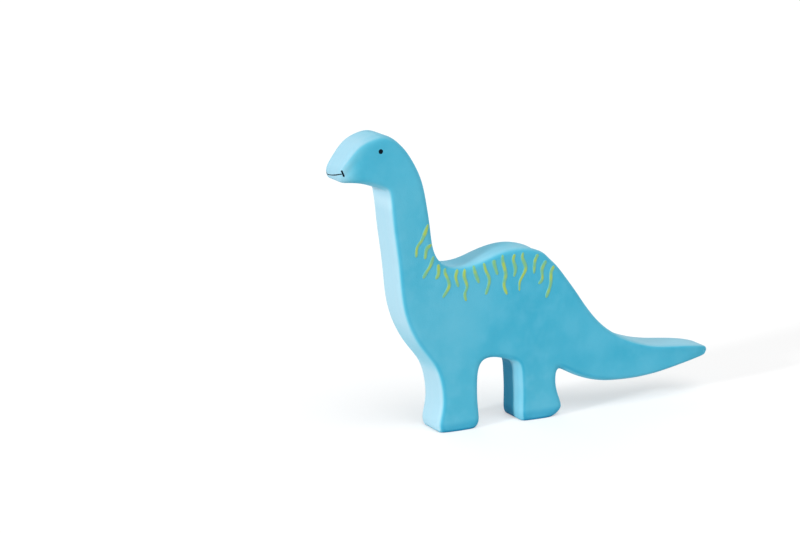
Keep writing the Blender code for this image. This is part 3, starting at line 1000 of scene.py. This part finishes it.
def skin_material():
    """Blue wash over rubber: mottled on the sides, thin and streaked on the front faces, with the
    stored painted light and shade.
    """
    nodes = Nodes("painted_rubber")
    mottle = nodes.noise(MOTTLE_SCALE, HIGH_DETAIL)
    sponge = nodes.noise(SPONGE_SCALE, MIDDLE_DETAIL)
    grain = nodes.noise(SKIN_GRAIN_SCALE, LOW_DETAIL)
    streaks = nodes.noise(1, HIGH_DETAIL, STREAK_ROUGHNESS, nodes.stretched(STREAK_STRETCH))

    blue = nodes.mix(nodes.ramp(mottle, *MOTTLE_RANGE), DEEP_BLUE, SIDE_BLUE)
    for scale, most in CLOUD_LAYERS:
        cloud = nodes.ramp(nodes.noise(scale, LOW_DETAIL), *CLOUD_RANGE, 0, most)
        blue = nodes.mix(cloud, blue, CLOUD_BLUE)
    thinning = nodes.ramp(streaks, *STREAK_RANGE, *STREAK_THINNING)
    # The stored paleness is partly a thin wash and partly painted light on faces turned to the
    # lamps
    thin = nodes.math("MULTIPLY", nodes.attribute("pale"), thinning)
    colour = nodes.wash(PALE_BLUE, blue, thin)
    sponged = nodes.ramp(sponge, *NOISE_RANGE, 0, SPONGE_COVER)
    colour = nodes.mix(sponged, colour, SPONGE_BLUE)
    # The stored depth deepens the colour with painted shade and lightens it with painted light
    colour = nodes.deepened(colour, nodes.attribute("depth"))

    nodes.shader.inputs["Specular IOR Level"].default_value = SKIN_SHINE
    rough = nodes.ramp(mottle, *NOISE_RANGE, *SKIN_ROUGHNESS)
    relief = nodes.math("ADD", nodes.math("MULTIPLY", sponge, SPONGE_RELIEF_SHARE), grain)
    return nodes.finish(colour, rough, nodes.bump(relief, SKIN_RELIEF))


def stroke_material():
    """Thick yellow-green paint, through which the blue shows at its thin edges."""
    nodes = Nodes("stroke_paint")
    streaks = nodes.noise(STROKE_STREAK_SCALE, MIDDLE_DETAIL)
    tint = nodes.ramp(nodes.attribute("tint"), *STROKE_TINT_RANGE)
    cover = nodes.ramp(nodes.attribute("cover"), *STROKE_COVER_RANGE)
    streaked = nodes.ramp(streaks, *STROKE_STREAK_RANGE, 0, STROKE_STREAK_COVER)
    colour = nodes.mix(tint, STROKE_YELLOW, STROKE_GREEN)
    colour = nodes.mix(streaked, colour, STROKE_STREAK)
    colour = nodes.mix(cover, STROKE_EDGE, colour)
    rough = nodes.ramp(streaks, *NOISE_RANGE, *STROKE_ROUGHNESS)
    return nodes.finish(colour, rough, nodes.bump(streaks, FINE_RELIEF))


def face_material():
    """Dull black paint."""
    nodes = Nodes("face_paint")
    grain = nodes.noise(FACE_GRAIN_SCALE, LOW_DETAIL)
    colour = nodes.mix(nodes.ramp(grain, *NOISE_RANGE), FACE_BLACK, FACE_WORN_BLACK)
    nodes.shader.inputs["Specular IOR Level"].default_value = FACE_SHINE
    return nodes.finish(colour, nodes.ramp(grain, *NOISE_RANGE, *FACE_ROUGHNESS))


def moulded_material(name, colour, cloud_colour, roughness, grain_scale):
    """A moulded piece's material, with faint clouds and grain."""
    nodes = Nodes(name)
    clouds = nodes.noise(grain_scale / MOULDED_CLOUD_SIZE_IN_GRAINS, MIDDLE_DETAIL)
    grain = nodes.noise(grain_scale, LOW_DETAIL)
    mixed = nodes.mix(nodes.ramp(clouds, *NOISE_RANGE), colour, cloud_colour)
    most = roughness + MOULDED_ROUGHNESS_SPAN
    rough = nodes.ramp(grain, *NOISE_RANGE, roughness, most)
    return nodes.finish(mixed, rough, nodes.bump(grain, FINE_RELIEF))


def dress_nodes():
    """Give the solids that stay their materials."""
    for start, *look in MOULDED_FINISHES:
        material = moulded_material(*look)
        for name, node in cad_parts.items():
            if name.startswith(start):
                node.data.materials.clear()
                node.data.materials.append(material)


# The floor and the world. Rays that see the white background get white, and other rays get the
# plain light and bounce of a studio.
FLOOR_SIZE = 12
FLOOR_ROUGHNESS = 0.9
FLOOR_BOUNCE = 0.75
FLOOR_WHITE_SHARE = 0.42
WORLD_STRENGTH = 0.46


def rays_that_see(tree):
    """Return a socket that is 1 for the rays in which the white background shows."""
    path = tree.nodes.new("ShaderNodeLightPath")
    seen = path.outputs["Is Camera Ray"]
    for name in ("Is Glossy Ray", "Is Transmission Ray"):
        either = tree.nodes.new("ShaderNodeMath")
        either.operation = "MAXIMUM"
        tree.links.new(seen, either.inputs[0])
        tree.links.new(path.outputs[name], either.inputs[1])
        seen = either.outputs[0]
    return seen


def make_floor():
    """Lay a white floor, which shows pure white where no shadow falls, and soft shadows."""
    plane = bmesh.new()
    bmesh.ops.create_grid(plane, x_segments=1, y_segments=1, size=FLOOR_SIZE / 2)
    floor = object_of("studio_floor", plane)
    nodes = Nodes("studio_floor")
    nodes.shader.inputs["Roughness"].default_value = FLOOR_ROUGHNESS
    nodes.shader.inputs["Specular IOR Level"].default_value = 0
    seen = rays_that_see(nodes.tree)
    tone = nodes.ramp(seen, 0, 1, FLOOR_BOUNCE, 1)
    nodes.tree.links.new(tone, nodes.shader.inputs["Base Color"])
    share = nodes.math("MULTIPLY", seen, FLOOR_WHITE_SHARE)
    white = nodes.add("ShaderNodeEmission").outputs[0]
    mixed = nodes.add("ShaderNodeMixShader", {0: share, 1: nodes.shader.outputs[0], 2: white})
    nodes.tree.links.new(mixed.outputs[0], nodes.tree.nodes["Material Output"].inputs["Surface"])
    floor.data.materials.append(nodes.material)


def make_world():
    """Surround the studio with soft white light, seen as white."""
    world = bpy.data.worlds.new("studio")
    bpy.context.scene.world = world
    world.use_nodes = True
    tree = world.node_tree
    background = tree.nodes["Background"]
    background.inputs["Color"].default_value = (1, 1, 1, 1)
    strength = tree.nodes.new("ShaderNodeMapRange")
    tree.links.new(rays_that_see(tree), strength.inputs["Value"])
    strength.inputs["To Min"].default_value = WORLD_STRENGTH
    strength.inputs["To Max"].default_value = 1
    tree.links.new(strength.outputs["Result"], background.inputs["Strength"])


# Each distant lamp: where its light comes from, in degrees round from the tail's side and in
# degrees up, how many degrees wide it looks, and the level that it gives a face turned to it
LAMPS = (
    ("key_left", 195, 15, 7, 0.68),
    ("low_right", 0, 15, 30, 0.10),
    ("front_soft", 270, 60, 50, 0.42),
    ("back_soft", 90, 30, 50, 0.14),
)


def make_lamps():
    """Set up the soft studio lamps."""
    for name, turn, lift, width, level in LAMPS:
        data = bpy.data.lights.new(name, "SUN")
        data.angle = math.radians(width)
        data.energy = level * math.pi
        across = math.cos(math.radians(lift))
        toward = Vector((
            math.cos(math.radians(turn)) * across,
            math.sin(math.radians(turn)) * across,
            math.sin(math.radians(lift)),
        ))
        lamp = bpy.data.objects.new(name, data)
        lamp.location = toward
        lamp.rotation_euler = (-toward).to_track_quat("-Z", "Y").to_euler()
        bpy.context.scene.collection.objects.link(lamp)


def make_camera():
    """Place the camera at the photograph's angle."""
    data = bpy.data.cameras.new("camera")
    data.lens = LENS_MM
    data.sensor_width = SENSOR_MM
    data.clip_start = CLIP_START
    camera = bpy.data.objects.new("camera", data)
    camera.location = CAMERA_PLACE
    camera.rotation_euler = camera_axes()[2].to_track_quat("-Z", "Y").to_euler()
    bpy.context.scene.collection.objects.link(camera)
    bpy.context.scene.camera = camera


def main():
    """Dress the figure and set up the studio."""
    skin = make_skin()
    store_paleness_and_shading(skin)
    skin.data.materials.clear()
    skin.data.materials.append(skin_material())
    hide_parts("body_shell")
    surface = Surface(skin)
    make_strokes(surface)
    make_eyes(surface)
    make_mouth(surface)
    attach(skin, "figure")
    dress_nodes()
    make_floor()
    make_world()
    make_lamps()
    make_camera()
    bpy.context.scene.view_settings.view_transform = "Standard"


main()
